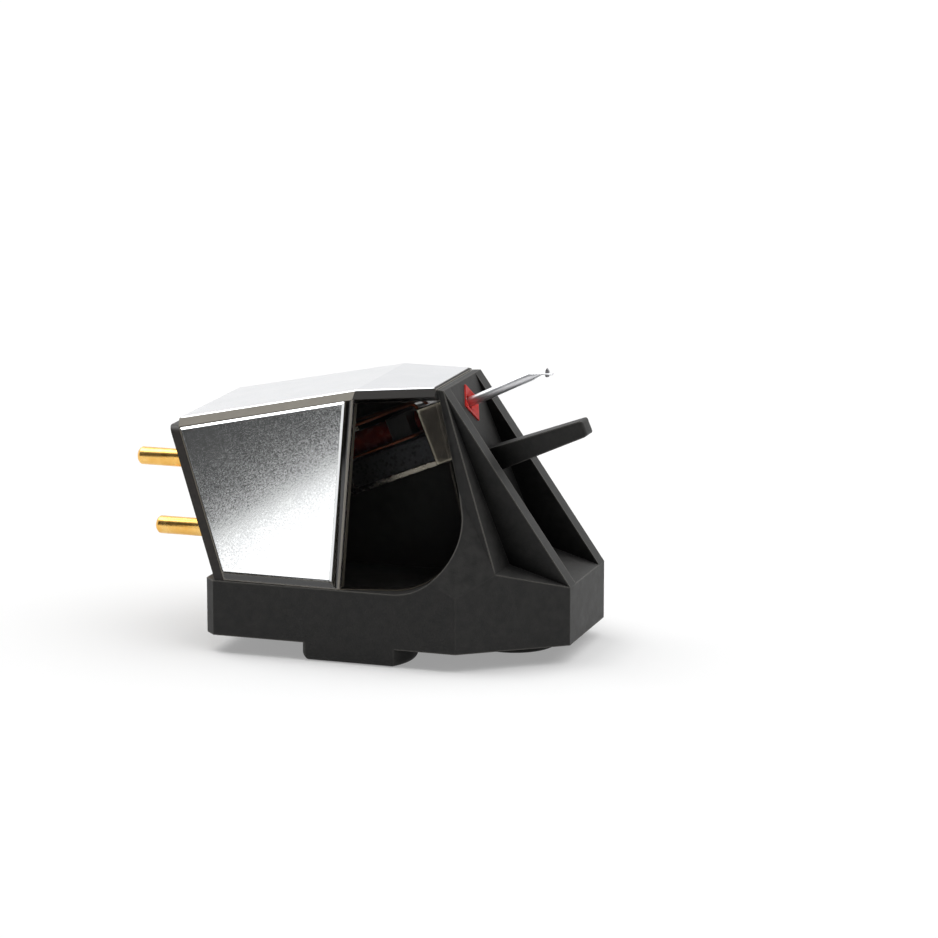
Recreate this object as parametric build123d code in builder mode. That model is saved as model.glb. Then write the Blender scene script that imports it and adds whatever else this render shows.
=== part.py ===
"""Moving-coil turntable cartridge, lying on its mounting face with the stylus up.

Frame: the origin is midway between the two mounting screws, on the face that meets the headshell.
+X runs forward to the stylus, +Y is one side, +Z leaves the mounting face. Millimetres.
"""
from build123d import *
from math import atan2, cos, degrees, radians, sin, sqrt, tan
import os

# Base plate of the body, with its mounting pads
screw_pitch = 12.7
base_width = 17.2
base_rear = 10.2
base_height = 3.7
shoulder_x = 7.3
nose_x = 13.64
nose_width = 7.8
nose_height = 3.9
rear_corner = 0.7
pad_height = 1.2
pad_radius = 3.8
pad_round = 0.4
front_pad_x = 8.6
front_pad_radius = 3.0

# Front wall, its ramp, ribs, guard bar and inner web
wall_top_x = 4.95
wall_top_z = 17.6
wall_top_width = 7.8
wall_waist_width = 10.3
wall_lean = 22.0
wall_rear_lean = 17.0
wall_thickness = 0.46
corner_radius = 4.0
ramp_angle = 16.7
rib_thickness = 1.2
web_thickness = 1.6
guard_below_axis = 3.7
guard_length = 7.05
guard_root_width = 1.8
guard_root_height = 1.65
guard_tip_width = 1.5
guard_tip_height = 1.1
guard_tip_round = 0.25

# Threaded inserts in the pads
insert_radius = 1.6
insert_length = 4.0
thread_radius = 1.05

# Smoked cover and its bright plates
cover_gap = 0.08
cover_margin = 0.05
cover_wall = 0.8
cover_kink_x = -0.75
cover_rear_setback = 1.4
cover_rear_lean = 22.7
roof_kink_drop = 0.15
roof_rear_angle = 11.6
roof_front_setback = 0.85
roof_front_rise = 0.08
roof_rear_width = 11.9
roof_kink_width = 11.1
roof_front_width = 8.55
roof_cut = 0.3
kink_cut = 0.02
plate_thickness = 0.3
top_plate_proud = 0.06
side_plate_proud = 0.14
plate_bevel = 0.13
plate_edge = 0.5
plate_rim = 0.05
plate_end = 0.1

# Terminal plate and output pins
terminal_thickness = 0.6
terminal_round = 0.6
terminal_drop = 0.4
pin_radius = 0.6
pin_root = 0.5
pin_spread = 7.8
pin_above_deck = 2.35
pin_pitch = 4.65
pin_upper_reach = 4.15
pin_lower_reach = 4.85
pin_inside = 1.4
pin_chamfer = 0.2

# Generator, on an axis square to the front wall
axis_below_top = 1.5
pole_plate_width = 5.2
pole_plate_thickness = 2.4
pole_plate_top = 1.0
pole_plate_bottom = 3.0
pole_slot_width = 2.8
pole_radius = 0.75
pole_air_gap = 1.0
magnet_length = 6.2
magnet_width = 4.0
magnet_height = 1.75
yoke_strip = 0.35
yoke_width = 4.4
yoke_upright = 1.4
yoke_top = 1.8
holder_length = 1.5
holder_setback = 1.0
holder_top = 0.95
screw_radius = 0.6
screw_proud = 0.15
screw_slot_width = 0.25
screw_slot_depth = 0.3
wire_radius = 0.12
wire_clearance = 0.1

# Moving assembly, on its own axis through the pivot
pivot_depth = 1.35
cantilever_angle = 25.5
cantilever_radius = 0.33
cantilever_bore = 0.2
cantilever_length = 5.95
taper_length = 0.9
tip_length = 0.68
tip_drop = 0.17
tip_width = 0.5
tip_thickness = 0.16
stylus_radius = 0.14
stylus_shank = 0.2
stylus_cone = 0.2
stylus_tip = 0.012
stylus_stub = 0.22
stylus_chamfer = 0.045
stylus_back = 0.36
former_thickness = 0.5
former_hub = 0.5
arm_length = 1.2
arm_width = 0.4
coil_start = 0.58
coil_length = 0.54
coil_width = 0.7
coil_depth = 0.86
coil_round = 0.1
collar_radius = 0.48
collar_length = 0.3
ferrule_radius = 0.35
ferrule_length = 0.28
ferrule_gap = 0.1
damper_half = 1.28
damper_proud = 0.1
damper_clearance = 0.12
damper_dish = 0.85
damper_dish_depth = 0.25

# Fine leads from the coils to the pins
lead_radius = 0.12
lead_clearance = 0.22
lead_angle = 35.0
lead_bend = 0.4
lead_straight = 1.5

# Places worked out from the sizes above
base_half = base_width / 2
nose_half = nose_width / 2
deck_z = pad_height + base_height
nose_top = pad_height + nose_height
lean_slope = tan(radians(wall_lean))
rear_slope = tan(radians(wall_rear_lean))
ramp_slope = tan(radians(ramp_angle))
wall_depth = wall_thickness / cos(radians(wall_lean))
ramp_rise = wall_top_z - nose_top - nose_x * ramp_slope
ramp_x = (wall_top_x + ramp_rise * lean_slope) / (1 - ramp_slope * lean_slope)
ramp_z = nose_top + (nose_x - ramp_x) * ramp_slope
taper_slope = (base_half - nose_half) / (nose_x - shoulder_x)
axis_z = wall_top_z - axis_below_top
guard_root_z = axis_z - guard_below_axis
cover_rear_x = cover_rear_setback - base_rear
roof_kink_z = wall_top_z - roof_kink_drop
roof_front_x = wall_top_x - roof_front_setback
roof_front_z = wall_top_z + roof_front_rise
pin_lower_z = deck_z + pin_above_deck
pin_upper_z = pin_lower_z + pin_pitch
pin_neck = pin_radius - pin_chamfer
damper_side = damper_half * sqrt(2)
pole_plate_rear = wall_thickness + pole_plate_thickness
magnet_rear = pole_plate_rear + magnet_length
yoke_rear = magnet_rear + yoke_upright
far_out = 2 * (base_width + nose_x)


def wall_x(z):
    """X of the front wall's front face at height z."""
    return wall_top_x + (wall_top_z - z) * lean_slope


def wall_rear_x(z):
    """X of the front wall's rear face at height z."""
    return wall_top_x - wall_depth + (wall_top_z - z) * rear_slope


def rear_x(z):
    """X of the cover's slanted rear edge at height z."""
    return cover_rear_x - (z - deck_z) * tan(radians(cover_rear_lean))


def plane_through(a, b, c, outward):
    """Plane through three points, with its normal turned to the outward side."""
    first = Vector(b) - Vector(a)
    normal = first.cross(Vector(c) - Vector(a)).normalized()
    if normal.dot(Vector(outward)) < 0:
        normal = -normal
    return Plane(origin=a, x_dir=first, z_dir=normal)


def save(builder, name):
    """Label a finished piece and write its file."""
    builder.part.label = name
    export_step(builder.part, f"parts/{name}.step")


os.makedirs("parts", exist_ok=True)

# The generator's axis starts on the wall's front face and leaves it squarely
axis_direction = Vector(cos(radians(wall_lean)), 0, sin(radians(wall_lean)))
axis_start = Vector(wall_x(axis_z), 0, axis_z)


def axis_plane(depth):
    """Plane square to the generator's axis, depth millimetres behind the wall's front face."""
    return Plane(origin=axis_start - axis_direction * depth, x_dir=(0, 1, 0), z_dir=axis_direction)


def axis_point(depth, side, up):
    """Point at a depth behind the wall's face, off the axis by side and up."""
    return axis_plane(depth).from_local_coords((side, up, 0))


# The moving assembly's axis passes through the pivot
pivot = axis_start - axis_direction * pivot_depth
arm_direction = Vector(cos(radians(cantilever_angle)), 0, sin(radians(cantilever_angle)))


def arm_plane(reach):
    """Plane square to the cantilever, reach millimetres in front of the pivot."""
    return Plane(origin=pivot + arm_direction * reach, x_dir=(0, 1, 0), z_dir=arm_direction)


# Outline of the base seen from above
corner_x = rear_corner - base_rear
corner_y = base_half - rear_corner
plan_points = [
    (corner_x, -base_half), (shoulder_x, -base_half), (nose_x, -nose_half),
    (nose_x, nose_half), (shoulder_x, base_half), (corner_x, base_half),
    (-base_rear, corner_y), (-base_rear, -corner_y),
]


# Body: one moulding with base, front wall, ramp, ribs, guard bar, pads and the web under the generator
guard_plane = Plane(
    origin=(wall_x(guard_root_z), 0, guard_root_z), x_dir=(0, 1, 0), z_dir=axis_direction
)
with BuildPart() as guard_bar:
    with BuildSketch(guard_plane.offset(-wall_thickness / 2)):
        Rectangle(guard_root_width, guard_root_height)
    with BuildSketch(guard_plane.offset(guard_length)):
        Rectangle(guard_tip_width, guard_tip_height)
    loft()
    fillet(guard_bar.faces().sort_by(Axis.X)[-1].edges(), guard_tip_round)

with BuildPart() as pads:
    with BuildSketch():
        with Locations((0, -screw_pitch / 2), (0, screw_pitch / 2)):
            Circle(pad_radius)
        with Locations((front_pad_x, 0)):
            Circle(front_pad_radius)
    extrude(amount=pad_height)
    with BuildSketch():
        Polygon(*plan_points, align=None)
    extrude(amount=pad_height, mode=Mode.INTERSECT)
    fillet(pads.edges().group_by(Axis.Z)[0], pad_round)

wall_foot_y = base_half - (ramp_x - shoulder_x) * taper_slope
waist_z = (deck_z + wall_top_z) / 2


def flank_cut(side):
    """Room beside the wall, outside its flank, which is folded from the wall's foot to its waist."""
    foot = (ramp_x, side * wall_foot_y, ramp_z)
    waist = (wall_rear_x(waist_z), side * wall_waist_width / 2, waist_z)
    top = (wall_top_x, side * wall_top_width / 2, wall_top_z)
    shoulder = (shoulder_x, side * base_half, deck_z)
    with BuildPart() as cut:
        Box(far_out, far_out, far_out, align=(Align.MIN, Align.CENTER, Align.CENTER))
        split(bisect_by=plane_through(foot, waist, top, (0, side, 0)), keep=Keep.TOP)
        split(bisect_by=plane_through(foot, waist, shoulder, (0, side, 0)), keep=Keep.TOP)
    return cut


flank_cuts = [flank_cut(-1), flank_cut(1)]
insert_places = {
    "insert_left": (0, -screw_pitch / 2),
    "insert_right": (0, screw_pitch / 2),
    "insert_front": (front_pad_x, 0),
}
wall_rear_foot = wall_rear_x(deck_z)
web_front = axis_point(wall_thickness, 0, -pole_plate_bottom)
web_rear = axis_point(yoke_rear, 0, -pole_plate_bottom)

with BuildPart() as body:
    with BuildSketch(Plane.XZ) as side_view:
        Polygon(
            (-base_rear, pad_height), (nose_x, pad_height), (nose_x, nose_top), (ramp_x, ramp_z),
            (wall_top_x, wall_top_z), (wall_top_x - wall_depth, wall_top_z),
            (wall_rear_foot, deck_z), (-base_rear, deck_z), align=None,
        )
        fillet(side_view.vertices().sort_by_distance((wall_rear_foot, deck_z, 0))[0], corner_radius)
    extrude(amount=base_half, both=True)
    with BuildSketch():
        Polygon(*plan_points, align=None)
    extrude(amount=wall_top_z, mode=Mode.INTERSECT)
    for side in (-1, 1):
        rib_middle = side * (nose_half - rib_thickness / 2)
        with BuildSketch(Plane.XZ.offset(-rib_middle)):
            Polygon(
                (wall_top_x, wall_top_z), (nose_x, nose_top), (nose_x, pad_height),
                (ramp_x, pad_height), (ramp_x - wall_depth, ramp_z),
                (wall_top_x - wall_depth / 2, wall_top_z), align=None,
            )
        extrude(amount=rib_thickness / 2, both=True)
    for cut in flank_cuts:
        add(cut.part, mode=Mode.SUBTRACT)
    with BuildSketch(Plane.XZ):
        Polygon(
            (web_rear.X, deck_z), (wall_rear_foot, deck_z), (web_front.X, web_front.Z),
            (web_rear.X, web_rear.Z), align=None,
        )
    extrude(amount=web_thickness / 2, both=True)
    add(guard_bar.part)
    add(pads.part)
    with BuildSketch():
        with Locations(*insert_places.values()):
            Circle(insert_radius)
    extrude(amount=insert_length, mode=Mode.SUBTRACT)
    with BuildSketch(axis_plane(wall_thickness)):
        with Locations((0, pole_plate_top - pole_plate_bottom / 2)):
            Rectangle(pole_plate_width, 2 * pole_plate_top + pole_plate_bottom)
    extrude(amount=-pole_plate_thickness, mode=Mode.SUBTRACT)
    with BuildSketch(axis_plane(0)):
        Rectangle(damper_side, damper_side, rotation=45)
    extrude(amount=pole_plate_thickness, both=True, mode=Mode.SUBTRACT)
save(body, "body")

# Threaded inserts, one in each pad
for name, place in insert_places.items():
    with BuildPart() as insert:
        with BuildSketch():
            with Locations(place):
                Circle(insert_radius)
                Circle(thread_radius, mode=Mode.SUBTRACT)
        extrude(amount=insert_length)
    save(insert, name)

# Smoked cover: one faceted moulding, open below, in front and at the rear
cover_foot = base_half - cover_margin
rear_slant = tan(radians(cover_rear_lean))
roof_rear_slope = tan(radians(roof_rear_angle))
roof_front_slope = (roof_front_z - roof_kink_z) / (roof_front_x - cover_kink_x)
roof_rear_drop = roof_kink_z - cover_kink_x * roof_rear_slope - deck_z
roof_rear_x = (cover_rear_x - roof_rear_drop * rear_slant) / (1 + roof_rear_slope * rear_slant)
roof_rear_z = roof_kink_z - (cover_kink_x - roof_rear_x) * roof_rear_slope
roof_over_wall = wall_top_z - roof_kink_z + cover_kink_x * roof_front_slope
roof_end_x = (wall_rear_x(wall_top_z) - cover_gap + roof_over_wall * rear_slope) / (
    1 + roof_front_slope * rear_slope
)
roof_end_z = roof_kink_z + (roof_end_x - cover_kink_x) * roof_front_slope


def roof_plane(angle):
    """Plane of the roof, rising forward at an angle from the kink."""
    slope = radians(angle)
    return Plane(origin=(cover_kink_x, 0, roof_kink_z), x_dir=(0, 1, 0), z_dir=(-sin(slope), 0, cos(slope)))


def side_facets(side):
    """Rear and front facets of one side of the cover."""
    kink_foot = (cover_kink_x, side * cover_foot, deck_z)
    kink_top = (cover_kink_x, side * roof_kink_width / 2, roof_kink_z)
    rear_top = (roof_rear_x, side * roof_rear_width / 2, roof_rear_z)
    front_top = (roof_front_x, side * roof_front_width / 2, roof_front_z)
    rear_facet = plane_through(kink_foot, kink_top, rear_top, (0, side, 0))
    front_facet = plane_through(kink_foot, kink_top, front_top, (0, side, 0))
    return [rear_facet, front_facet]


def edge_cut(first, second, side, depth):
    """Plane that takes off the edge between two planes that meet at the kink's top."""
    normal = (first.z_dir + second.z_dir).normalized()
    kink_top = Vector(cover_kink_x, side * roof_kink_width / 2, roof_kink_z)
    return Plane(origin=kink_top - normal * depth, z_dir=normal)


facets = {side: side_facets(side) for side in (-1, 1)}
side_planes = facets[-1] + facets[1]
roof_planes = [roof_plane(roof_rear_angle), roof_plane(degrees(atan2(roof_front_slope, 1)))]
roof_cuts = []
kink_cuts = []
for side in (-1, 1):
    for facet, roof in zip(facets[side], roof_planes):
        roof_cuts.append(edge_cut(facet, roof, side, roof_cut))
    kink_cuts.append(edge_cut(*facets[side], side, kink_cut))

with BuildPart() as cavity:
    Box(far_out, base_width, far_out)
    for plane in side_planes + roof_planes:
        split(bisect_by=plane.offset(-cover_wall), keep=Keep.BOTTOM)


def side_plate(side):
    """Bright plate let into the rear facet of one side, standing a little proud of it."""
    rear_facet = facets[side][0]
    low = deck_z + plate_edge
    front = cover_kink_x - plate_edge
    high_front = roof_kink_z - plate_edge * (1 + roof_rear_slope)
    high_rear = roof_rear_z - plate_edge
    with BuildPart() as plate:
        with BuildSketch(Plane.XZ):
            Polygon(
                (rear_x(low) + plate_end, low), (front, low), (front, high_front),
                (rear_x(high_rear) + plate_end, high_rear), align=None,
            )
        extrude(amount=-side * base_width)
        split(bisect_by=rear_facet.offset(side_plate_proud), keep=Keep.BOTTOM)
        split(bisect_by=rear_facet.offset(side_plate_proud - plate_thickness), keep=Keep.TOP)
        outer_face = plate.faces().sort_by(Axis(rear_facet.origin, rear_facet.z_dir))[-1]
        chamfer(outer_face.edges(), plate_bevel)
    return plate


side_plates = {"side_plate_left": side_plate(-1), "side_plate_right": side_plate(1)}

top_plate_ends = [
    Plane(origin=(roof_rear_x + plate_end, 0, 0), z_dir=(-1, 0, 0)),
    Plane(origin=(roof_end_x - plate_end, 0, 0), z_dir=(1, 0, 0)),
]
with BuildPart() as under_top_plate:
    Box(far_out, base_width, far_out)
    for plane in roof_planes:
        split(bisect_by=plane.offset(top_plate_proud - plate_thickness), keep=Keep.BOTTOM)

with BuildPart() as top_plate:
    Box(far_out, base_width, far_out)
    for plane in roof_planes:
        split(bisect_by=plane.offset(top_plate_proud), keep=Keep.BOTTOM)
    for plane in roof_cuts:
        split(bisect_by=plane.offset(-plate_rim), keep=Keep.BOTTOM)
    for plane in top_plate_ends:
        split(bisect_by=plane, keep=Keep.BOTTOM)
    add(under_top_plate.part, mode=Mode.SUBTRACT)

with BuildPart() as cover:
    with BuildSketch(Plane.XZ) as cover_view:
        Polygon(
            (cover_rear_x, deck_z), (wall_rear_foot - cover_gap, deck_z), (roof_end_x, roof_end_z),
            (cover_kink_x, roof_kink_z), (roof_rear_x, roof_rear_z), align=None,
        )
        fillet(cover_view.vertices().sort_by_distance((wall_rear_foot, deck_z, 0))[0], corner_radius)
    extrude(amount=base_width, both=True)
    for plane in side_planes + roof_cuts + kink_cuts:
        split(bisect_by=plane, keep=Keep.BOTTOM)
    add(cavity.part, mode=Mode.SUBTRACT)
    for plate in side_plates.values():
        add(plate.part, mode=Mode.SUBTRACT)
    add(top_plate.part, mode=Mode.SUBTRACT)
save(cover, "cover")
save(top_plate, "top_plate")
for name, plate in side_plates.items():
    save(plate, name)

# Terminal plate across the slanted rear of the cover
terminal_shift = terminal_thickness / cos(radians(cover_rear_lean))
pin_places = {
    "pin_left_upper": (-pin_spread / 2, pin_upper_z, pin_upper_reach),
    "pin_right_upper": (pin_spread / 2, pin_upper_z, pin_upper_reach),
    "pin_left_lower": (-pin_spread / 2, pin_lower_z, pin_lower_reach),
    "pin_right_lower": (pin_spread / 2, pin_lower_z, pin_lower_reach),
}
terminal_top = roof_rear_z - terminal_drop
with BuildPart() as terminal_plate:
    with BuildSketch(Plane.XZ):
        Polygon(
            (cover_rear_x, deck_z), (rear_x(terminal_top), terminal_top),
            (rear_x(terminal_top) - terminal_shift, terminal_top),
            (cover_rear_x - terminal_shift, deck_z), align=None,
        )
    extrude(amount=base_width, both=True)
    for side in (-1, 1):
        split(bisect_by=facets[side][0], keep=Keep.BOTTOM)
    top_edges = terminal_plate.faces().sort_by(Axis.Z)[-1].edges().sort_by(Axis.Y)
    fillet([top_edges[0], top_edges[-1]], terminal_round)
    with BuildSketch(Plane.YZ):
        with Locations(*[(pin_y, pin_z) for pin_y, pin_z, pin_reach in pin_places.values()]):
            Circle(pin_neck)
    extrude(amount=-far_out, mode=Mode.SUBTRACT)
save(terminal_plate, "terminal_plate")

# Output pins: each ends short of the slanted plate and passes through it with a thinner neck
for name, (pin_y, pin_z, pin_reach) in pin_places.items():
    pin_plane = Plane.YZ.offset(rear_x(pin_z) - terminal_shift - pin_reach)
    with BuildPart() as pin:
        with BuildSketch(pin_plane):
            with Locations((pin_y, pin_z)):
                Circle(pin_radius)
        extrude(amount=pin_reach - pin_root)
        chamfer(pin.edges().filter_by(GeomType.CIRCLE), pin_chamfer)
        with BuildSketch(pin_plane.offset(pin_reach / 2)):
            with Locations((pin_y, pin_z)):
                Circle(pin_neck)
        extrude(amount=pin_reach / 2 + terminal_shift + pin_inside)
    save(pin, name)

# Generator: front pole plate against the wall, magnet, yoke, rear pole and its holder
strip_top = yoke_strip - pole_plate_bottom
magnet_middle = strip_top + magnet_height / 2
pole_front = pivot_depth + pole_air_gap

with BuildPart() as front_pole:
    with BuildSketch(axis_plane(pole_plate_rear)):
        with Locations((0, (pole_plate_top - pole_plate_bottom) / 2)):
            Rectangle(pole_plate_width, pole_plate_top + pole_plate_bottom)
        Circle(pole_slot_width / 2, mode=Mode.SUBTRACT)
        with Locations((0, pole_plate_top / 2)):
            Rectangle(pole_slot_width, pole_plate_top, mode=Mode.SUBTRACT)
    extrude(amount=pole_plate_thickness)
save(front_pole, "front_pole")

with BuildPart() as magnet:
    with BuildSketch(axis_plane(magnet_rear)):
        with Locations((0, magnet_middle)):
            Rectangle(magnet_width, magnet_height)
    extrude(amount=magnet_length)
save(magnet, "magnet")

with BuildPart() as yoke:
    with BuildSketch(axis_plane(magnet_rear)):
        with Locations((0, strip_top - yoke_strip / 2)):
            Rectangle(yoke_width, yoke_strip)
    extrude(amount=magnet_length)
    with BuildSketch(axis_plane(yoke_rear)):
        with Locations((0, (yoke_top - pole_plate_bottom) / 2)):
            Rectangle(yoke_width, yoke_top + pole_plate_bottom)
        Circle(pole_radius, mode=Mode.SUBTRACT)
    extrude(amount=yoke_upright)
    screw_plane = Plane(
        origin=axis_point(magnet_rear + yoke_upright / 2, 0, 0),
        x_dir=(0, 1, 0),
        z_dir=axis_plane(0).y_dir,
    )
    with BuildSketch(screw_plane):
        Circle(screw_radius)
    extrude(amount=far_out, mode=Mode.SUBTRACT)
save(yoke, "yoke")

with BuildPart() as rear_pole:
    with BuildSketch(axis_plane(yoke_rear)):
        Circle(pole_radius)
        Circle(wire_radius, mode=Mode.SUBTRACT)
    extrude(amount=yoke_rear - pole_front)
save(rear_pole, "rear_pole")

with BuildPart() as pole_holder:
    holder_bottom = strip_top + magnet_height
    with BuildSketch(axis_plane(pole_plate_rear + holder_setback + holder_length)):
        with Locations((0, (holder_top + holder_bottom) / 2)):
            Rectangle(magnet_width, holder_top - holder_bottom)
        Circle(pole_radius, mode=Mode.SUBTRACT)
    extrude(amount=holder_length)
save(pole_holder, "pole_holder")

with BuildPart() as clamp_screw:
    with BuildSketch(screw_plane.offset(pole_radius)):
        Circle(screw_radius)
    extrude(amount=yoke_top - pole_radius + screw_proud)
    with BuildSketch(screw_plane.offset(yoke_top + screw_proud)):
        Rectangle(far_out, screw_slot_width)
    extrude(amount=-screw_slot_depth, mode=Mode.SUBTRACT)
save(clamp_screw, "clamp_screw")

ferrule_rear = former_thickness / 2 + ferrule_gap + ferrule_length
with BuildPart() as suspension_wire:
    with BuildSketch(axis_plane(yoke_rear)):
        Circle(wire_radius)
    extrude(amount=yoke_rear - pivot_depth - ferrule_rear - wire_clearance)
save(suspension_wire, "suspension_wire")

# Damper: a square block set on its corner in the wall, with a dished face round the cantilever
with BuildPart() as damper:
    with BuildSketch(axis_plane(wall_thickness)):
        Rectangle(damper_side, damper_side, rotation=45)
    extrude(amount=wall_thickness + damper_proud)
    with BuildSketch(arm_plane(0)):
        Circle(cantilever_radius + damper_clearance)
    extrude(amount=far_out, mode=Mode.SUBTRACT)
    with BuildSketch(axis_plane(-damper_proud)):
        Circle(damper_dish)
    with BuildSketch(axis_plane(damper_dish_depth - damper_proud)):
        Circle(cantilever_radius + damper_clearance)
    loft(mode=Mode.SUBTRACT)
save(damper, "damper")

# Moving assembly: coil former with its coils, ferrule, collar, cantilever and stylus
with BuildPart() as coil_former:
    with BuildSketch(arm_plane(-former_thickness / 2)):
        Rectangle(2 * arm_length, arm_width, rotation=45)
        Rectangle(2 * arm_length, arm_width, rotation=-45)
        Circle(former_hub)
        Circle(cantilever_radius, mode=Mode.SUBTRACT)
    extrude(amount=former_thickness)
save(coil_former, "coil_former")

coil_angles = {
    "coil_left_upper": 135,
    "coil_right_upper": 45,
    "coil_left_lower": 225,
    "coil_right_lower": 315,
}
for name, angle in coil_angles.items():
    across = cos(radians(angle))
    upward = sin(radians(angle))
    outward = arm_plane(0).from_local_coords((across, upward, 0)) - pivot
    coil_plane = Plane(origin=pivot + outward * coil_start, x_dir=arm_direction, z_dir=outward)
    with BuildPart() as coil:
        with BuildSketch(coil_plane):
            RectangleRounded(coil_depth, coil_width, coil_round)
            Rectangle(former_thickness, arm_width, mode=Mode.SUBTRACT)
        extrude(amount=coil_length)
    save(coil, name)

with BuildPart() as pivot_ferrule:
    with BuildSketch(arm_plane(-ferrule_rear)):
        Circle(ferrule_radius)
        Circle(wire_radius, mode=Mode.SUBTRACT)
    extrude(amount=ferrule_length)
save(pivot_ferrule, "pivot_ferrule")

with BuildPart() as cantilever_collar:
    with BuildSketch(arm_plane(former_thickness / 2)):
        Circle(collar_radius)
        Circle(cantilever_radius, mode=Mode.SUBTRACT)
    extrude(amount=collar_length)
save(cantilever_collar, "cantilever_collar")

taper_end = cantilever_length + taper_length
tip_start = pivot + arm_direction * taper_end - Vector(0, 0, tip_drop)
stylus_x = tip_start.X + tip_length - stylus_back
tip_plane = Plane(origin=tip_start, x_dir=(0, 1, 0), z_dir=(1, 0, 0))
with BuildPart() as cantilever:
    with BuildSketch(arm_plane(-former_thickness / 2)):
        Circle(cantilever_radius)
    extrude(amount=cantilever_length + former_thickness / 2)
    with BuildSketch(arm_plane(cantilever_length)):
        Circle(cantilever_radius)
    with BuildSketch(tip_plane):
        Ellipse(tip_width / 2, tip_thickness / 2)
    loft()
    with BuildSketch(tip_plane):
        Ellipse(tip_width / 2, tip_thickness / 2)
    extrude(amount=tip_length)
    with BuildSketch(arm_plane(-former_thickness / 2)):
        Circle(cantilever_bore)
    extrude(amount=cantilever_length, mode=Mode.SUBTRACT)
    with BuildSketch(Plane.XY.offset(tip_start.Z)):
        with Locations((stylus_x, 0)):
            Circle(stylus_radius)
    extrude(amount=tip_width, both=True, mode=Mode.SUBTRACT)
save(cantilever, "cantilever")

with BuildPart() as stylus:
    with BuildSketch(Plane.XY.offset(tip_start.Z - stylus_stub)):
        with Locations((stylus_x, 0)):
            Circle(stylus_radius)
    extrude(amount=stylus_stub + stylus_shank)
    chamfer(stylus.faces().sort_by(Axis.Z)[0].edges(), stylus_chamfer)
    with Locations((stylus_x, 0, tip_start.Z + stylus_shank)):
        Cone(stylus_radius, stylus_tip, stylus_cone, align=(Align.CENTER, Align.CENTER, Align.MIN))
save(stylus, "stylus")

# Leads: one from behind each coil, through the pole's slot, round the holder and yoke, to its pin
lead_start = pivot_depth + coil_depth / 2 + lead_clearance
lead_reach = pole_radius + lead_radius + lead_clearance
lead_out = lead_reach * cos(radians(lead_angle))
lead_up = lead_reach * sin(radians(lead_angle))
holder_front = pole_plate_rear + holder_setback
leave_slot = pole_plate_rear + holder_setback / 3
reach_holder = holder_front - holder_setback / 3
beside_holder = magnet_width / 2 + lead_radius + lead_clearance
beside_yoke = yoke_width / 2 + lead_radius + lead_clearance
above_holder = holder_top + lead_radius + lead_clearance
before_yoke = magnet_rear - lead_clearance
lead_routes = {
    "upper": [
        (lead_start, lead_out, lead_up),
        (leave_slot, lead_out, lead_up),
        (reach_holder, lead_out, above_holder),
        (holder_front + holder_length, lead_out, above_holder),
        (before_yoke, beside_yoke, above_holder),
    ],
    "lower": [
        (lead_start, lead_out, -lead_up),
        (leave_slot, lead_out, -lead_up),
        (reach_holder, beside_holder, -lead_up),
        (before_yoke, beside_yoke, -lead_up),
    ],
}
for pin_name, (pin_y, pin_z, pin_reach) in pin_places.items():
    side = -1 if "left" in pin_name else 1
    level = "upper" if "upper" in pin_name else "lower"
    pin_end = rear_x(pin_z) + pin_inside
    route_points = [axis_point(depth, side * out, up) for depth, out, up in lead_routes[level]]
    route_points.append(Vector(pin_end + lead_straight, pin_y, pin_z))
    route_points.append(Vector(pin_end, pin_y, pin_z))
    with BuildPart() as lead:
        with BuildLine() as route:
            FilletPolyline(*route_points, radius=lead_bend)
        with BuildSketch(Plane(origin=route.line @ 0, z_dir=route.line % 0)):
            Circle(lead_radius)
        sweep()
    save(lead, pin_name.replace("pin", "lead"))
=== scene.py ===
"""Looks of a moving-coil turntable cartridge that lies on its mounting face, in a small white studio.

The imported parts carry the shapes. This script rounds their edges, gives each one its finish, adds the fine
threads of the inserts, and sets up the floor, the lights and the camera.
"""
from math import cos, pi, radians, sin

import bpy
from mathutils import Matrix, Vector


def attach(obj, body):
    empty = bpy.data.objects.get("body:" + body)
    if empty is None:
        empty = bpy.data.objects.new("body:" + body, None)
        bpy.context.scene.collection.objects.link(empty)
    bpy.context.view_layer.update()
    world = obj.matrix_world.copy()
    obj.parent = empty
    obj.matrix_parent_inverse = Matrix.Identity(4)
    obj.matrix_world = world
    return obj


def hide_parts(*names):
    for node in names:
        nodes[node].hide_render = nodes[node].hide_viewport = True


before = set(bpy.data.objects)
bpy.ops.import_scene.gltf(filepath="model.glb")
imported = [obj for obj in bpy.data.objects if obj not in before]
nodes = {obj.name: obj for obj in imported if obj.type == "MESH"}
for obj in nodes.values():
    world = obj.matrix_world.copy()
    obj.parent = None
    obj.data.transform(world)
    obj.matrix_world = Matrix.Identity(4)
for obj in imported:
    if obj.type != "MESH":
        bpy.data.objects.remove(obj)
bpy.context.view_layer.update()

MM = 0.001

# Bend across the cover's sides and roof, in millimetres: its place, and half the width of the painted
# highlight line along it
kink_x = -0.75
painted_bend_highlight_half = 0.08

# A face of the cover points up where this share of its direction is upward
upward_limit = 0.5

# Clean-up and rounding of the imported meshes: join distance in millimetres, and angles in degrees
weld_distance = 0.0005
flat_angle = 0.5
rounded_angle = 28.0
facet_angle = 4.0
rounding_steps = 2

# Threaded inserts, in millimetres
insert_places = {"insert_left": (0, -6.35), "insert_right": (0, 6.35), "insert_front": (8.6, 0)}
insert_radius = 1.6
insert_length = 4.0
insert_chamfer = 0.12
thread_radius = 1.05
thread_depth = 0.17
thread_pitch = 0.45
thread_lead_in = 0.24

# Thread's mesh: flat share at crest and root, angle in degrees that stays sharp, steps round and up
thread_flat = 0.12
thread_sharp_angle = 32.0
insert_columns = 44
insert_rows = 72

# Camera, in millimetres and degrees
camera_eye = (87.378, -248.874, 68.801)
camera_azimuth = 18.23
camera_elevation = 12.31
camera_lens = 155.44

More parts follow.
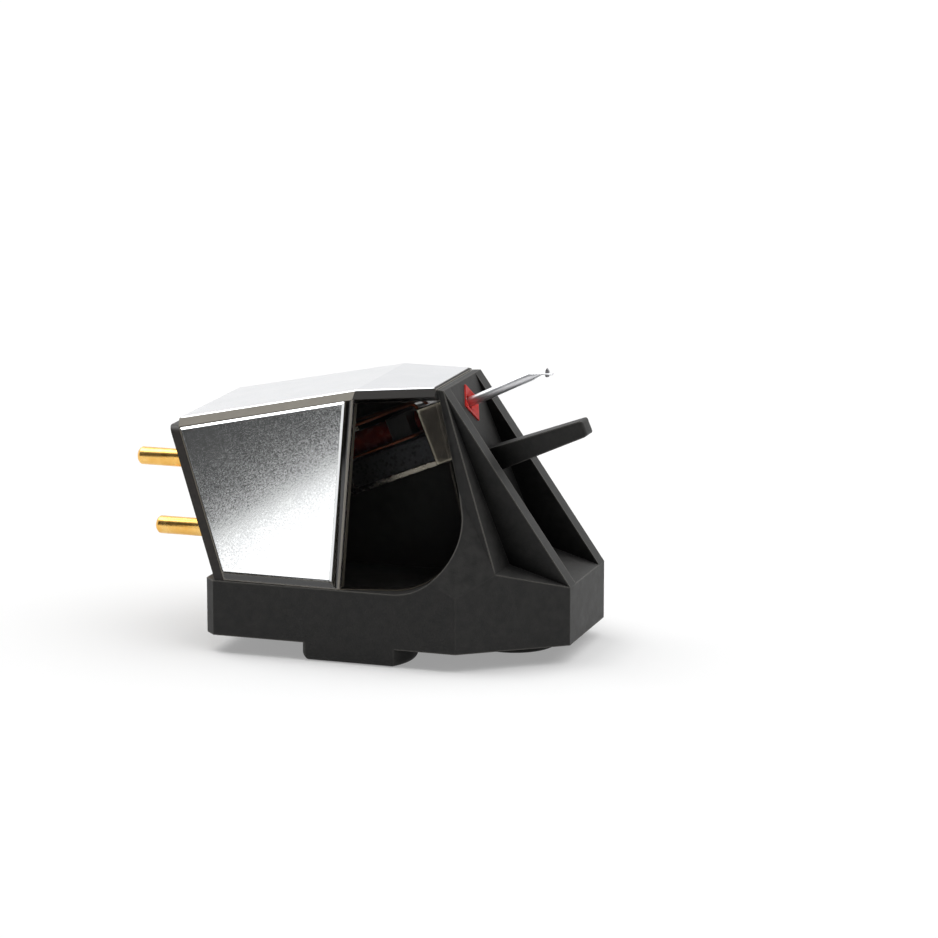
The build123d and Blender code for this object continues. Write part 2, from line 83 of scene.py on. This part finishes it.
# Studio levels, and angles in degrees: a plain white surface facing a light of level 1 shows as white
fill_level = 0.3
key_level = 0.52
key_azimuth = 122.0
key_elevation = 68.0
key_spread = 75.0
top_level = 0.42
top_azimuth = -98.0
top_elevation = 60.0
top_spread = 40.0
floor_white = 0.66
floor_glow = 0.31
curtain_grey = 0.06
matt_roughness = 0.9

# Floor and curtain, in millimetres
floor_reach = 2000
floor_drop = 0.01
curtain_y = -520
curtain_reach = 900
curtain_bottom = 5
curtain_top = 900

# Bright card that the near side plate mirrors: upper left corner and size in millimetres, tilt in degrees
card_corner = (-51.8, -97.0, 25.2)
card_width = 49.0
card_height = 26.0
card_tilt = 34.5
card_level = 1.6


def tone(red, green, blue):
    """Linear colour, opaque, from the usual 0 to 255 values."""
    channels = []
    for value in (red, green, blue):
        share = value / 255
        channels.append(share / 12.92 if share <= 0.04045 else ((share + 0.055) / 1.055) ** 2.4)
    return (*channels, 1.0)


def grey(level):
    """Linear grey, opaque, which also serves as a plain number in a blend."""
    return (level, level, level, 1.0)


class Finish:
    """A material with one principled shader, and the textures that feed it."""

    def __init__(self, name, **values):
        self.material = bpy.data.materials.new(name)
        self.material.use_nodes = True
        self.tree = self.material.node_tree
        self.shader = self.tree.nodes["Principled BSDF"]
        for label, value in values.items():
            self.shader.inputs[label.replace("_", " ")].default_value = value
        self.coordinates = self.tree.nodes.new("ShaderNodeTexCoord")
        self.place = self.coordinates.outputs["Object"]

    def feed(self, socket, source):
        """Join a texture's output to one of the shader's sockets."""
        self.tree.links.new(source, self.shader.inputs[socket])

    def stretched(self, across, along, up):
        """Coordinates stretched by a factor on each axis, for drawn or brushed grain."""
        mapping = self.tree.nodes.new("ShaderNodeMapping")
        mapping.inputs["Scale"].default_value = (1 / across, 1 / along, 1 / up)
        self.tree.links.new(self.place, mapping.inputs["Vector"])
        return mapping.outputs["Vector"]

    def noise(self, size, detail, place=None):
        """Cloudy pattern from 0 to 1, with features about size millimetres wide."""
        texture = self.tree.nodes.new("ShaderNodeTexNoise")
        texture.inputs["Scale"].default_value = 1 / (size * MM)
        texture.inputs["Detail"].default_value = detail
        self.tree.links.new(place or self.place, texture.inputs["Vector"])
        return texture.outputs["Fac"]

    def cells(self, size):
        """Distance to scattered points about size millimetres apart."""
        texture = self.tree.nodes.new("ShaderNodeTexVoronoi")
        texture.inputs["Scale"].default_value = 1 / (size * MM)
        self.tree.links.new(self.place, texture.inputs["Vector"])
        return texture.outputs["Distance"]

    def rings(self, pitch, axis, waver):
        """Even lines across one axis, one line every pitch millimetres."""
        texture = self.tree.nodes.new("ShaderNodeTexWave")
        texture.bands_direction = axis
        texture.inputs["Scale"].default_value = 2 * pi / (20 * pitch * MM)
        texture.inputs["Distortion"].default_value = waver
        self.tree.links.new(self.place, texture.inputs["Vector"])
        return texture.outputs["Fac"]

    def ramp(self, source, low, high):
        """Colour that runs between two stops, each a place from 0 to 1 and a colour."""
        ramp = self.tree.nodes.new("ShaderNodeValToRGB")
        for element, (place, colour) in zip(ramp.color_ramp.elements, (low, high)):
            element.position = place
            element.color = colour
        self.tree.links.new(source, ramp.inputs["Fac"])
        return ramp.outputs["Color"]

    def span(self, source, low, high):
        """Number that runs from low to high as the pattern goes through its usual middle range."""
        span = self.tree.nodes.new("ShaderNodeMapRange")
        span.inputs["From Min"].default_value = 0.3
        span.inputs["From Max"].default_value = 0.7
        span.inputs["To Min"].default_value = low
        span.inputs["To Max"].default_value = high
        self.tree.links.new(source, span.inputs["Value"])
        return span.outputs["Result"]

    def crowded(self, inside, reach, free, full):
        """Mask that goes from 0 to 1 as the share of open space within reach falls from free to full."""
        shade = self.tree.nodes.new("ShaderNodeAmbientOcclusion")
        shade.inside = inside
        shade.only_local = True
        shade.samples = 8
        shade.inputs["Distance"].default_value = reach * MM
        mask = self.tree.nodes.new("ShaderNodeMapRange")
        mask.inputs["From Min"].default_value = free
        mask.inputs["From Max"].default_value = full
        self.tree.links.new(shade.outputs["AO"], mask.inputs["Value"])
        return mask.outputs["Result"]

    def edges(self, reach):
        """1 along outer edges, falling to 0 on ground more than reach millimetres from them."""
        return self.crowded(True, reach, free=0.92, full=0.6)

    def recesses(self, reach):
        """1 deep in corners and channels, 0 on open ground, looking reach millimetres around."""
        return self.crowded(False, reach, free=0.8, full=0.4)

    def compare(self, source, operation, value, reach=0.0):
        """1 where a number compares with a value in the named way, 0 elsewhere."""
        test = self.tree.nodes.new("ShaderNodeMath")
        test.operation = operation
        test.inputs[1].default_value = value
        test.inputs[2].default_value = reach
        self.tree.links.new(source, test.inputs[0])
        return test.outputs["Value"]

    def join(self, first, second, operation):
        """Two masks joined: MAXIMUM for either, MULTIPLY for both."""
        joined = self.tree.nodes.new("ShaderNodeMath")
        joined.operation = operation
        self.tree.links.new(first, joined.inputs[0])
        self.tree.links.new(second, joined.inputs[1])
        return joined.outputs["Value"]

    def part_of(self, output, axis):
        """X, Y or Z of the place or of the surface's direction, in the part's own frame."""
        split = self.tree.nodes.new("ShaderNodeSeparateXYZ")
        self.tree.links.new(self.coordinates.outputs[output], split.inputs["Vector"])
        return split.outputs[axis]

    def blend(self, share, low, high):
        """Colour that goes from low to high by a share."""
        mix = self.tree.nodes.new("ShaderNodeMix")
        mix.data_type = "RGBA"
        self.tree.links.new(share, mix.inputs["Factor"])
        for socket, colour in (("A_Color", low), ("B_Color", high)):
            target = next(item for item in mix.inputs if item.identifier == socket)
            if isinstance(colour, tuple):
                target.default_value = colour
            else:
                self.tree.links.new(colour, target)
        return next(item for item in mix.outputs if item.identifier == "Result_Color")

    def bump(self, source, depth, under=None):
        """Raise the surface by a pattern, depth millimetres high, on top of an earlier bump."""
        bump = self.tree.nodes.new("ShaderNodeBump")
        bump.inputs["Distance"].default_value = depth * MM
        self.tree.links.new(source, bump.inputs["Height"])
        if under is not None:
            self.tree.links.new(under, bump.inputs["Normal"])
        return bump.outputs["Normal"]


def moulding():
    """Charcoal moulded plastic with a mottled, slightly pitted skin, lighter edges that stand for wear and a
    painted highlight, and painted shade that darkens recesses and dulls their shine.
    """
    look = Finish("charcoal_moulding")
    mottle = look.noise(0.7, detail=6)
    speck = look.noise(0.08, detail=2)
    painted_recess_shade = look.recesses(5.0)
    skin_colour = look.ramp(mottle, (0.34, tone(31, 31, 30)), (0.66, tone(46, 45, 44)))
    # Lighter edges, partly wear and partly a painted highlight on the rounded edges.
    skin_with_worn_highlit_edges = look.blend(look.edges(0.12), skin_colour, tone(98, 96, 92))
    # Painted shade: recesses turn near black and lose most of their shine.
    look.feed("Base Color", look.blend(painted_recess_shade, skin_with_worn_highlit_edges, tone(16, 16, 16)))
    look.feed("Specular IOR Level", look.blend(painted_recess_shade, grey(0.3), grey(0.04)))
    look.feed("Roughness", look.span(mottle, 0.5, 0.62))
    skin = look.bump(mottle, 0.012)
    look.feed("Normal", look.bump(speck, 0.008, skin))
    return look.material


def smoked_cover():
    """Glossy smoked plastic, see-through in front of its bend, with painted highlights on its upright rims
    and along its bend, and matt upper chamfers in painted reflection colours.
    """
    look = Finish("smoked_plastic", IOR=1.56)
    haze = look.noise(3.0, detail=4)
    across = look.part_of("Object", "X")
    upward = look.part_of("Normal", "Z")
    painted_bend_highlight = look.compare(across, "COMPARE", kink_x * MM, painted_bend_highlight_half * MM)
    upright = look.compare(upward, "LESS_THAN", upward_limit)
    # Painted highlight: pale, more opaque colour along the cover's upright edges and in a thin line along
    # the bend, standing in for the light their rounding catches.
    rim = look.join(look.join(look.edges(0.16), painted_bend_highlight, "MAXIMUM"), upright, "MULTIPLY")
    chamfer = look.compare(upward, "GREATER_THAN", upward_limit)
    behind = look.compare(across, "LESS_THAN", kink_x * MM)
    smoke = look.ramp(haze, (0.35, tone(8, 7, 6)), (0.7, tone(13, 11, 9)))
    smoke_with_painted_highlights = look.blend(rim, smoke, tone(128, 121, 109))
    # Painted reflections: upward-facing chamfers are opaque and matt, taupe behind the bend and brown in
    # front, in place of what they would mirror.
    painted_taupe_reflection = look.ramp(haze, (0.3, tone(128, 123, 113)), (0.7, tone(142, 137, 127)))
    painted_brown_reflection = look.ramp(haze, (0.3, tone(18, 15, 12)), (0.7, tone(28, 24, 19)))
    look.feed("Base Color", look.blend(chamfer, smoke_with_painted_highlights, look.blend(behind, painted_brown_reflection, painted_taupe_reflection)))
    solid = look.blend(rim, grey(0.3), grey(0.9))
    shut = look.join(chamfer, behind, "MAXIMUM")
    look.feed("Alpha", look.blend(shut, solid, grey(1.0)))
    look.feed("Roughness", look.blend(chamfer, look.span(haze, 0.03, 0.07), grey(0.4)))
    look.feed("Specular IOR Level", look.blend(chamfer, grey(0.5), grey(0.12)))
    return look.material


def bright_plate(name, low, high, edge, grain):
    """Bright plated sheet with a fine rolled grain and matt edges of the given tone; on the top plate that
    tone is a painted darker reflection.
    """
    look = Finish(name)
    fine = look.noise(0.11, detail=2)
    patch = look.noise(2.4, detail=3)
    rim = look.edges(0.1)
    sheet = look.ramp(patch, (0.3, low), (0.7, high))
    look.feed("Base Color", look.blend(rim, sheet, edge))
    look.feed("Metallic", look.blend(rim, grey(1.0), grey(0.3)))
    look.feed("Roughness", look.span(fine, 0.07, 0.18))
    look.feed("Normal", look.bump(fine, grain))
    return look.material


def terminal_board():
    """Dark laminate with a faint weave."""
    look = Finish("terminal_laminate")
    weave = look.noise(0.35, detail=3, place=look.stretched(1.0, 4.0, 1.0))
    look.feed("Base Color", look.ramp(weave, (0.3, tone(30, 26, 24)), (0.7, tone(48, 42, 38))))
    look.feed("Roughness", look.span(weave, 0.42, 0.6))
    look.feed("Normal", look.bump(weave, 0.01))
    return look.material


def gold_plate():
    """Gold-plated turned pin with faint turning lines."""
    look = Finish("gold_plating", Metallic=1.0)
    patch = look.noise(0.8, detail=3)
    lines = look.rings(0.06, "X", waver=1.5)
    look.feed("Base Color", look.ramp(patch, (0.3, tone(240, 184, 94)), (0.7, tone(250, 206, 124))))
    look.feed("Roughness", look.span(patch, 0.2, 0.3))
    look.feed("Normal", look.bump(lines, 0.0015))
    return look.material


def plated_steel(name, low, high, roughness, edge=None):
    """Plated or ground metal, a little cloudy, with or without painted highlights of another tone along its
    edges.
    """
    look = Finish(name, Metallic=1.0)
    cloud = look.noise(0.7, detail=4)
    scratch = look.noise(0.12, detail=3, place=look.stretched(1.0, 8.0, 1.0))
    plating = look.ramp(cloud, (0.3, low), (0.7, high))
    if edge is not None:
        # Painted highlight: a pale tone along the edges, where a polished edge would catch light.
        plating = look.blend(look.edges(0.35), plating, edge)
    look.feed("Base Color", plating)
    look.feed("Roughness", look.span(cloud, roughness, roughness + 0.12))
    look.feed("Normal", look.bump(scratch, 0.0012))
    return look.material


def magnet_metal():
    """Dark sintered magnet with a pitted skin."""
    look = Finish("sintered_magnet", Metallic=0.8)
    pits = look.cells(0.25)
    look.feed("Base Color", look.ramp(pits, (0.0, tone(40, 41, 44)), (0.5, tone(74, 75, 78))))
    look.feed("Roughness", look.span(pits, 0.55, 0.4))
    look.feed("Normal", look.bump(pits, 0.01))
    return look.material


def holder_plastic():
    """Dark moulded block round the rear pole."""
    look = Finish("holder_plastic")
    mottle = look.noise(0.4, detail=4)
    look.feed("Base Color", look.ramp(mottle, (0.3, tone(26, 25, 25)), (0.7, tone(40, 38, 38))))
    look.feed("Roughness", look.span(mottle, 0.45, 0.6))
    look.feed("Normal", look.bump(mottle, 0.008))
    return look.material


def red_rubber():
    """Soft red rubber with a fine skin."""
    look = Finish("red_rubber", Specular_IOR_Level=0.25, Subsurface_Weight=0.15, Subsurface_Scale=0.3 * MM)
    cloud = look.noise(0.45, detail=4)
    skin = look.noise(0.07, detail=2)
    look.feed("Base Color", look.ramp(cloud, (0.3, tone(186, 24, 20)), (0.7, tone(216, 46, 38))))
    look.feed("Roughness", look.span(cloud, 0.34, 0.5))
    look.feed("Normal", look.bump(skin, 0.006))
    return look.material


def red_enamel():
    """Glossy red-brown enamel on a round rod."""
    look = Finish("red_enamel", Coat_Weight=0.5)
    cloud = look.noise(0.6, detail=4)
    look.feed("Base Color", look.ramp(cloud, (0.3, tone(196, 44, 26)), (0.7, tone(226, 70, 44))))
    look.feed("Roughness", look.span(cloud, 0.2, 0.32))
    look.feed("Normal", look.bump(cloud, 0.006))
    return look.material


def winding_wire(name, pitch):
    """Enamelled copper wire, laid in fine turns."""
    look = Finish(name, Metallic=1.0, Coat_Weight=0.6)
    turns = look.rings(pitch, "DIAGONAL", waver=0.4)
    look.feed("Base Color", look.ramp(turns, (0.2, tone(120, 52, 28)), (0.8, tone(206, 112, 66))))
    look.feed("Roughness", look.span(turns, 0.36, 0.22))
    look.feed("Normal", look.bump(turns, 0.01))
    return look.material


def drawn_aluminium():
    """Drawn aluminium tube with fine lengthways lines."""
    look = Finish("drawn_aluminium", Metallic=1.0)
    lines = look.noise(0.05, detail=3, place=look.stretched(14.0, 1.0, 6.0))
    look.feed("Base Color", look.ramp(lines, (0.3, tone(214, 215, 218)), (0.7, tone(228, 229, 231))))
    look.feed("Roughness", look.span(lines, 0.36, 0.46))
    look.feed("Normal", look.bump(lines, 0.003))
    return look.material


def stylus_stone():
    """Small dark polished stone."""
    look = Finish("stylus_stone", IOR=2.2)
    cloud = look.noise(0.2, detail=3)
    look.feed("Base Color", look.ramp(cloud, (0.3, tone(52, 50, 56)), (0.7, tone(98, 96, 104))))
    look.feed("Roughness", look.span(cloud, 0.06, 0.14))
    return look.material


def insert_brass():
    """Turned brass insert with fine turning lines."""
    look = Finish("turned_brass", Metallic=1.0)
    cloud = look.noise(0.6, detail=4)
    lines = look.rings(0.09, "Z", waver=0.6)
    look.feed("Base Color", look.ramp(cloud, (0.3, tone(186, 148, 78)), (0.7, tone(216, 180, 108))))
    look.feed("Roughness", look.span(cloud, 0.24, 0.38))
    look.feed("Normal", look.bump(lines, 0.002))
    return look.material


brass = insert_brass()
side_plating = bright_plate(
    "bright_side_plate",
    low=tone(228, 230, 231),
    high=tone(238, 240, 240),
    edge=tone(240, 240, 240),
    grain=0.0005,
)
top_plating = bright_plate(
    "bright_top_plate",
    low=tone(217, 219, 222),
    high=tone(224, 225, 228),
    # Painted reflection: a darker taupe-grey edge, in place of the white line the rounded edge would mirror.
    edge=tone(116, 112, 104),
    grain=0.0001,
)
pole_plating = plated_steel(
    "pole_plating",
    low=tone(70, 67, 61),
    high=tone(98, 93, 85),
    roughness=0.12,
    # Painted highlight: cream colour along the front pole's edges.
    edge=tone(252, 242, 218),
)
yoke_plating = plated_steel("yoke_plating", tone(206, 198, 180), tone(232, 224, 206), roughness=0.2)
screw_steel = plated_steel("screw_steel", tone(150, 150, 152), tone(190, 190, 192), roughness=0.26)

# Parts made of flat facets that meet at shallow angles
faceted = ["cover", "top_plate", "side_plate_left", "side_plate_right", "terminal_plate"]

# Which parts take which finish, and how far their edges are rounded, in millimetres
finishes = [
    (moulding(), 0.07, ["body"]),
    (smoked_cover(), 0.1, ["cover"]),
    (side_plating, 0.09, ["side_plate_left", "side_plate_right"]),
    (top_plating, 0.02, ["top_plate"]),
    (terminal_board(), 0.08, ["terminal_plate"]),
    (gold_plate(), 0.06, ["pin_left_upper", "pin_right_upper", "pin_left_lower", "pin_right_lower"]),
    (pole_plating, 0.12, ["front_pole"]),
    (yoke_plating, 0.06, ["yoke", "coil_former"]),
    (screw_steel, 0.04, ["clamp_screw", "suspension_wire"]),
    (red_enamel(), 0.05, ["rear_pole"]),
    (magnet_metal(), 0.06, ["magnet"]),
    (holder_plastic(), 0.06, ["pole_holder"]),
    (red_rubber(), 0.06, ["damper"]),
    (winding_wire("coil_windings", 0.05), 0.02,
     ["coil_left_upper", "coil_right_upper", "coil_left_lower", "coil_right_lower"]),
    (winding_wire("lead_wire", 0.07), 0.0,
     ["lead_left_upper", "lead_right_upper", "lead_left_lower", "lead_right_lower"]),
    (drawn_aluminium(), 0.02, ["cantilever"]),
    (stylus_stone(), 0.01, ["stylus"]),
    (brass, 0.05, ["insert_left", "insert_right", "insert_front", "pivot_ferrule", "cantilever_collar"]),
]


def round_edges(part, width, flat_facets):
    """Round a part's sharp edges a little, and shade its faces crisply or smoothly."""
    weld = part.modifiers.new("join_faces", "WELD")
    weld.merge_threshold = weld_distance * MM
    flat = part.modifiers.new("flat_faces", "DECIMATE")
    flat.decimate_type = "DISSOLVE"
    flat.angle_limit = radians(flat_angle)
    if width > 0:
        bevel = part.modifiers.new("edge_rounding", "BEVEL")
        bevel.width = width * MM
        bevel.segments = rounding_steps
        bevel.limit_method = "ANGLE"
        bevel.angle_limit = radians(rounded_angle)
    if flat_facets:
        crisp = part.modifiers.new("crisp_facets", "EDGE_SPLIT")
        crisp.split_angle = radians(facet_angle)
    else:
        part.modifiers.new("even_shading", "WEIGHTED_NORMAL")


for material, rounding, names in finishes:
    for name in names:
        part = nodes[name]
        part.data.materials.clear()
        part.data.materials.append(material)
        round_edges(part, rounding, name in faceted)


def new_object(name, data):
    """Put new data in the scene."""
    thing = bpy.data.objects.new(name, data)
    bpy.context.scene.collection.objects.link(thing)
    return thing


def bore_radius(angle, z):
    """Radius of an insert's bore: a thread with a short countersink at each end."""
    phase = (z / thread_pitch - angle / (2 * pi)) % 1
    groove = 1 - abs(2 * phase - 1)
    share = (groove - thread_flat) / (1 - 2 * thread_flat)
    radius = thread_radius + thread_depth * min(1, max(0, share))
    from_end = min(z, insert_length - z)
    return max(radius, thread_radius + thread_lead_in - from_end)


def threaded_insert(name, middle, material):
    """Brass insert with its thread cut as a real groove, in place of the plain one."""
    outline = [
        (insert_radius - insert_chamfer, 0),
        (insert_radius, insert_chamfer),
        (insert_radius, insert_length - insert_chamfer),
        (insert_radius - insert_chamfer, insert_length),
    ]
    points = []
    for step in range(insert_columns):
        angle = 2 * pi * step / insert_columns
        column = []
        for row in range(insert_rows + 1):
            z = insert_length * row / insert_rows
            column.append((bore_radius(angle, z), z))
        for radius, z in column + outline[::-1]:
            points.append((middle[0] + radius * cos(angle), middle[1] + radius * sin(angle), z))
    height = insert_rows + 1 + len(outline)
    faces = []
    for step in range(insert_columns):
        here = step * height
        there = (step + 1) % insert_columns * height
        for row in range(height):
            above = (row + 1) % height
            faces.append((here + row, here + above, there + above, there + row))
    mesh = bpy.data.meshes.new(f"{name}_thread")
    mesh.from_pydata([Vector(point) * MM for point in points], [], faces)
    mesh.polygons.foreach_set("use_smooth", [True] * len(faces))
    mesh.set_sharp_from_angle(angle=radians(thread_sharp_angle))
    mesh.materials.append(material)
    piece = new_object(f"{name}_thread", mesh)
    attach(piece, "cartridge")
    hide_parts(name)


def studio_plane(name, corners):
    """A flat stage surface through four corners, in millimetres."""
    mesh = bpy.data.meshes.new(name)
    mesh.from_pydata([Vector(corner) * MM for corner in corners], [], [(0, 1, 2, 3)])
    plane = new_object(name, mesh)
    return plane


def backdrop_share(tree):
    """1 for camera, glossy and transmission rays, which see the white backdrop, and 0 for the rest."""
    path = tree.nodes.new("ShaderNodeLightPath")
    first = tree.nodes.new("ShaderNodeMath")
    first.operation = "MAXIMUM"
    tree.links.new(path.outputs["Is Camera Ray"], first.inputs[0])
    tree.links.new(path.outputs["Is Glossy Ray"], first.inputs[1])
    second = tree.nodes.new("ShaderNodeMath")
    second.operation = "MAXIMUM"
    tree.links.new(first.outputs["Value"], second.inputs[0])
    tree.links.new(path.outputs["Is Transmission Ray"], second.inputs[1])
    return second.outputs["Value"]


def white_world():
    """World that looks white, and gives a dim fill light."""
    world = bpy.data.worlds.new("white_studio")
    bpy.context.scene.world = world
    world.use_nodes = True
    tree = world.node_tree
    fill = tree.nodes["Background"]
    fill.inputs["Color"].default_value = grey(1.0)
    fill.inputs["Strength"].default_value = fill_level
    white = tree.nodes.new("ShaderNodeBackground")
    white.inputs["Color"].default_value = grey(1.0)
    white.inputs["Strength"].default_value = 1.0
    mix = tree.nodes.new("ShaderNodeMixShader")
    tree.links.new(backdrop_share(tree), mix.inputs["Fac"])
    tree.links.new(fill.outputs["Background"], mix.inputs[1])
    tree.links.new(white.outputs["Background"], mix.inputs[2])
    tree.links.new(mix.outputs["Shader"], tree.nodes["World Output"].inputs["Surface"])


def white_floor():
    """Pale floor that meets the white background and keeps the shadow."""
    floor = studio_plane("floor", [
        (-floor_reach, -floor_reach, 0),
        (floor_reach, -floor_reach, 0),
        (floor_reach, floor_reach, 0),
        (-floor_reach, floor_reach, 0),
    ])
    floor.location.z = -floor_drop * MM
    material = bpy.data.materials.new("pale_floor")
    material.use_nodes = True
    tree = material.node_tree
    paint = tree.nodes["Principled BSDF"]
    paint.inputs["Base Color"].default_value = grey(floor_white)
    paint.inputs["Roughness"].default_value = matt_roughness
    paint.inputs["Specular IOR Level"].default_value = 0.0
    glow = tree.nodes.new("ShaderNodeMath")
    glow.operation = "MULTIPLY"
    glow.inputs[1].default_value = floor_glow
    tree.links.new(backdrop_share(tree), glow.inputs[0])
    paint.inputs["Emission Color"].default_value = grey(1.0)
    tree.links.new(glow.outputs["Value"], paint.inputs["Emission Strength"])
    floor.data.materials.append(material)


def dark_curtain():
    """Dark curtain behind the camera, which the glossy cover reflects."""
    curtain = studio_plane("curtain", [
        (-curtain_reach, curtain_y, curtain_bottom),
        (curtain_reach, curtain_y, curtain_bottom),
        (curtain_reach, curtain_y, curtain_top),
        (-curtain_reach, curtain_y, curtain_top),
    ])
    material = bpy.data.materials.new("curtain_cloth")
    material.use_nodes = True
    paint = material.node_tree.nodes["Principled BSDF"]
    paint.inputs["Base Color"].default_value = grey(curtain_grey)
    paint.inputs["Roughness"].default_value = matt_roughness
    curtain.data.materials.append(material)
    curtain.visible_camera = False
    curtain.visible_shadow = False


def soft_light(name, azimuth, elevation, spread, level):
    """Large even light from one direction, lighting a white surface that faces it to the level."""
    lamp = bpy.data.lights.new(name, "SUN")
    lamp.energy = level * pi
    lamp.angle = radians(spread)
    light = new_object(name, lamp)
    toward = Vector((sin(radians(azimuth)), -cos(radians(azimuth)), 0)) * cos(radians(elevation))
    toward.z = sin(radians(elevation))
    light.rotation_euler = toward.to_track_quat("Z", "Y").to_euler()


def light_card(name, corner, width, height, tilt, level):
    """Upright bright card that faces +Y and only shows in reflections, hung by its upper left corner."""
    lamp = bpy.data.lights.new(name, "AREA")
    lamp.shape = "RECTANGLE"
    lamp.size = width * MM
    lamp.size_y = height * MM
    lamp.energy = level * pi * width * height * MM * MM
    light = new_object(name, lamp)
    along = Vector((cos(radians(tilt)), 0, sin(radians(tilt))))
    upward = Vector((-sin(radians(tilt)), 0, cos(radians(tilt))))
    turn = Matrix((along, upward, along.cross(upward))).transposed().to_4x4()
    middle = Vector(corner) + along * width / 2 - upward * height / 2
    light.matrix_world = Matrix.Translation(middle * MM) @ turn
    light.visible_camera = False
    light.visible_diffuse = False


def photo_camera():
    """Camera at the photograph's place and angle."""
    data = bpy.data.cameras.new("camera")
    data.lens = camera_lens
    data.clip_start = 1 * MM
    camera = new_object("camera", data)
    azimuth = radians(camera_azimuth)
    elevation = radians(camera_elevation)
    right = Vector((cos(azimuth), sin(azimuth), 0))
    back = Vector((sin(azimuth) * cos(elevation), -cos(azimuth) * cos(elevation), sin(elevation)))
    turn = Matrix((right, back.cross(right), back)).transposed().to_4x4()
    camera.matrix_world = Matrix.Translation(Vector(camera_eye) * MM) @ turn
    bpy.context.scene.camera = camera


for name, middle in insert_places.items():
    threaded_insert(name, middle, brass)

white_world()
white_floor()
dark_curtain()
soft_light("key_light", key_azimuth, key_elevation, key_spread, key_level)
soft_light("top_light", top_azimuth, top_elevation, top_spread, top_level)
light_card("low_card", card_corner, card_width, card_height, card_tilt, card_level)
photo_camera()
bpy.context.scene.view_settings.view_transform = "Standard"
